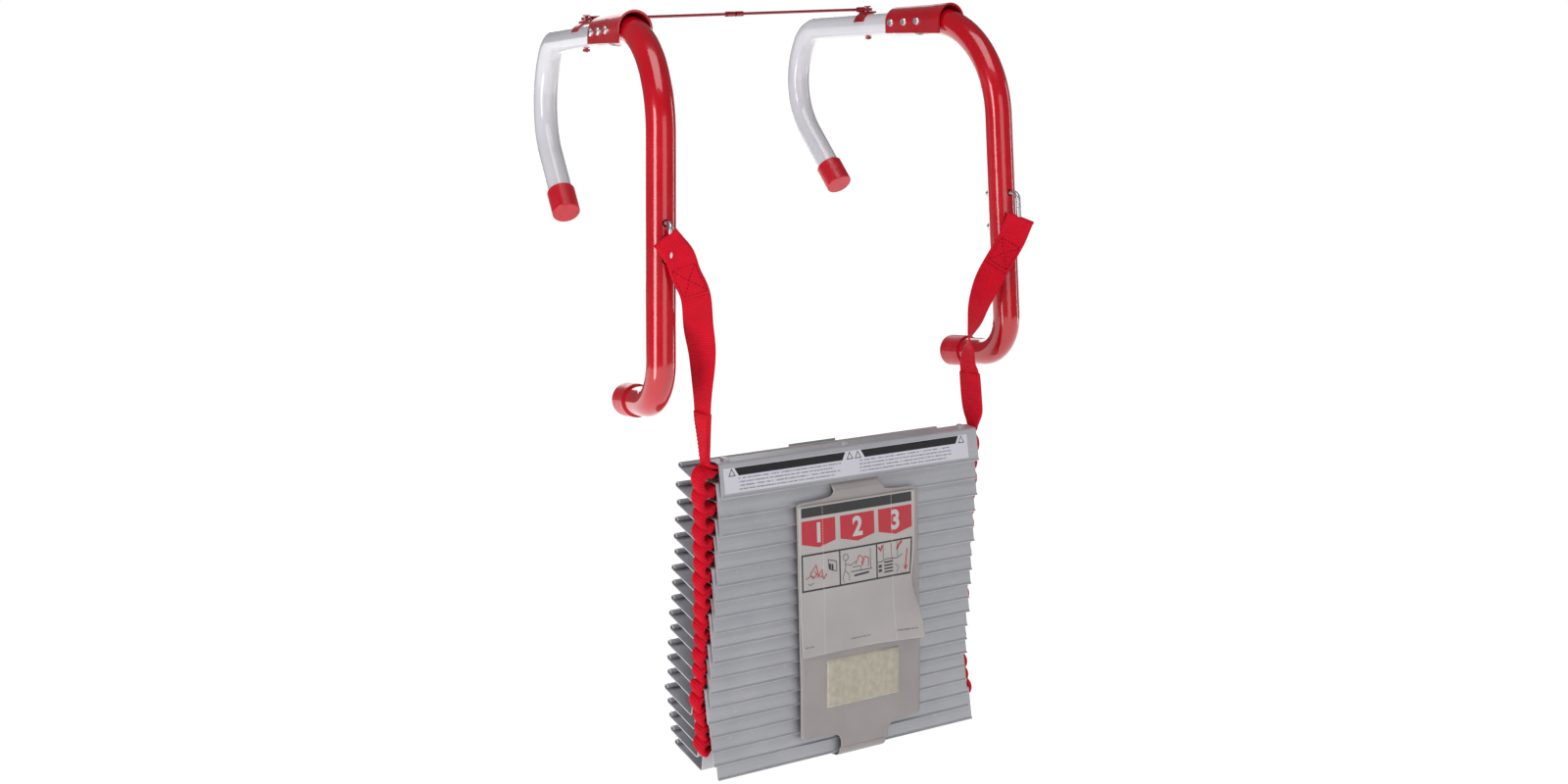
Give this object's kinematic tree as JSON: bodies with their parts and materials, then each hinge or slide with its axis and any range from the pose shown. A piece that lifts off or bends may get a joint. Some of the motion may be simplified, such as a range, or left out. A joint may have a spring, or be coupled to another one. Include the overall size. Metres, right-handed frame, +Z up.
{
  "type": "window escape ladder",
  "caption": "Folded window escape ladder: two folding tube hooks, webbing straps and a nested stack of steel rungs tied with a fabric band.",
  "frame": {"origin": "where the window sill lies: midway between the two hooks, at the underside of their arms", "axes": "+X runs along the rungs, +Y points into the room and +Z is up"},
  "size_m": [0.4796, 0.3825, 0.6764],
  "materials": {
    "red_tube": "gloss",
    "white_tube": "gloss",
    "red_cap": "satin",
    "red_sleeve": "satin",
    "bright_rivets": "satin",
    "zinc_hardware": "zinc plated",
    "clip": "satin",
    "cable": "coated wire rope",
    "rung_steel": "satin grey",
    "label": "printed film",
    "red_webbing": "woven",
    "band_fabric": "woven",
    "patch": "pile",
    "flap": "printed film"
  },
  "bodies": {
    "hooks": {"left_leg_tube": "red_tube", "right_leg_tube": "red_tube", "foot_caps": "red_cap", "pivot_pins": "bright_rivets", "u_bolts": "zinc_hardware", "u_bolt_nuts": "zinc_hardware", "upper_straps": "red_webbing", "rung_01": "rung_steel", "top_rung_label": "label", "band_front_panel": "band_fabric", "band_rear_strap": "band_fabric", "hook_loop_patch": "patch", "instruction_flap": "flap", "webbing_01": "red_webbing"},
    "left_arm": {"left_arm_tube": "white_tube", "left_arm_cap": "red_cap", "left_sleeve": "red_sleeve", "left_sleeve_rivets": "bright_rivets", "left_cable_clip": "clip"},
    "right_arm": {"right_arm_tube": "white_tube", "right_arm_cap": "red_cap", "right_sleeve": "red_sleeve", "right_sleeve_rivets": "bright_rivets", "right_cable_clip": "clip"},
    "spreader": {"spreader_cable": "cable"},
    "rung_02_body": {"rung_02": "rung_steel", "webbing_02": "red_webbing"},
    "rung_03_body": {"rung_03": "rung_steel", "webbing_03": "red_webbing"},
    "rung_04_body": {"rung_04": "rung_steel", "webbing_04": "red_webbing"},
    "rung_05_body": {"rung_05": "rung_steel", "webbing_05": "red_webbing"},
    "rung_06_body": {"rung_06": "rung_steel", "webbing_06": "red_webbing"},
    "rung_07_body": {"rung_07": "rung_steel", "webbing_07": "red_webbing"},
    "rung_08_body": {"rung_08": "rung_steel", "webbing_08": "red_webbing"},
    "rung_09_body": {"rung_09": "rung_steel", "webbing_09": "red_webbing"},
    "rung_10_body": {"rung_10": "rung_steel", "webbing_10": "red_webbing"},
    "rung_11_body": {"rung_11": "rung_steel", "webbing_11": "red_webbing"},
    "rung_12_body": {"rung_12": "rung_steel", "webbing_12": "red_webbing"},
    "rung_13_body": {"rung_13": "rung_steel", "webbing_13": "red_webbing"},
    "rung_14_body": {"rung_14": "rung_steel", "webbing_14": "red_webbing"},
    "rung_15_body": {"rung_15": "rung_steel", "webbing_15": "red_webbing"},
    "rung_16_body": {"rung_16": "rung_steel", "webbing_16": "red_webbing"},
    "rung_17_body": {"rung_17": "rung_steel", "webbing_17": "red_webbing"},
    "rung_18_body": {"rung_18": "rung_steel", "webbing_18": "red_webbing"},
    "rung_19_body": {"rung_19": "rung_steel"}
  },
  "joints": [
    {"name": "left_arm_fold", "type": "hinge", "parent": "hooks", "child": "left_arm", "pos_m": [-0.17225, -0.06109, 0.01002], "axis": [-0.9482, 0.3154, 0.0366], "range_deg": [0, 55]},
    {"name": "right_arm_fold", "type": "hinge", "parent": "hooks", "child": "right_arm", "pos_m": [0.21297, -0.04604, 0.01959], "axis": [-0.995, 0.0993, -0.0087], "range_deg": [0, 55]},
    {"name": "spreader_swivel", "type": "hinge", "parent": "left_arm", "child": "spreader", "pos_m": [-0.14362, 0.02197, 0.03284], "axis": [0.144, -0.8016, -0.5803], "range_deg": [0, 19.7], "deforming": ["spreader_cable"]},
    {"name": "drop_02", "type": "slide", "parent": "hooks", "child": "rung_02_body", "axis": [0, 0, -1], "range_m": [0, 0.342], "deforming": ["webbing_01", "band_rear_strap"]},
    {"name": "drop_03", "type": "slide", "parent": "rung_02_body", "child": "rung_03_body", "axis": [0, 0, -1], "range_m": [0, 0.342], "deforming": ["webbing_02"]},
    {"name": "drop_04", "type": "slide", "parent": "rung_03_body", "child": "rung_04_body", "axis": [0, 0, -1], "range_m": [0, 0.342], "deforming": ["webbing_03"]},
    {"name": "drop_05", "type": "slide", "parent": "rung_04_body", "child": "rung_05_body", "axis": [0, 0, -1], "range_m": [0, 0.342], "deforming": ["webbing_04"]},
    {"name": "drop_06", "type": "slide", "parent": "rung_05_body", "child": "rung_06_body", "axis": [0, 0, -1], "range_m": [0, 0.342], "deforming": ["webbing_05"]},
    {"name": "drop_07", "type": "slide", "parent": "rung_06_body", "child": "rung_07_body", "axis": [0, 0, -1], "range_m": [0, 0.342], "deforming": ["webbing_06"]},
    {"name": "drop_08", "type": "slide", "parent": "rung_07_body", "child": "rung_08_body", "axis": [0, 0, -1], "range_m": [0, 0.342], "deforming": ["webbing_07"]},
    {"name": "drop_09", "type": "slide", "parent": "rung_08_body", "child": "rung_09_body", "axis": [0, 0, -1], "range_m": [0, 0.342], "deforming": ["webbing_08"]},
    {"name": "drop_10", "type": "slide", "parent": "rung_09_body", "child": "rung_10_body", "axis": [0, 0, -1], "range_m": [0, 0.342], "deforming": ["webbing_09"]},
    {"name": "drop_11", "type": "slide", "parent": "rung_10_body", "child": "rung_11_body", "axis": [0, 0, -1], "range_m": [0, 0.342], "deforming": ["webbing_10"]},
    {"name": "drop_12", "type": "slide", "parent": "rung_11_body", "child": "rung_12_body", "axis": [0, 0, -1], "range_m": [0, 0.342], "deforming": ["webbing_11"]},
    {"name": "drop_13", "type": "slide", "parent": "rung_12_body", "child": "rung_13_body", "axis": [0, 0, -1], "range_m": [0, 0.342], "deforming": ["webbing_12"]},
    {"name": "drop_14", "type": "slide", "parent": "rung_13_body", "child": "rung_14_body", "axis": [0, 0, -1], "range_m": [0, 0.342], "deforming": ["webbing_13"]},
    {"name": "drop_15", "type": "slide", "parent": "rung_14_body", "child": "rung_15_body", "axis": [0, 0, -1], "range_m": [0, 0.342], "deforming": ["webbing_14"]},
    {"name": "drop_16", "type": "slide", "parent": "rung_15_body", "child": "rung_16_body", "axis": [0, 0, -1], "range_m": [0, 0.342], "deforming": ["webbing_15"]},
    {"name": "drop_17", "type": "slide", "parent": "rung_16_body", "child": "rung_17_body", "axis": [0, 0, -1], "range_m": [0, 0.342], "deforming": ["webbing_16"]},
    {"name": "drop_18", "type": "slide", "parent": "rung_17_body", "child": "rung_18_body", "axis": [0, 0, -1], "range_m": [0, 0.342], "deforming": ["webbing_17"]},
    {"name": "drop_19", "type": "slide", "parent": "rung_18_body", "child": "rung_19_body", "axis": [0, 0, -1], "range_m": [0, 0.342], "deforming": ["webbing_18"]}
  ],
  "couplings": [
    {"joint": "right_arm_fold", "follows": "left_arm_fold", "ratio": 1},
    {"joint": "spreader_swivel", "follows": "left_arm_fold", "ratio": 0.3568}
  ]
}
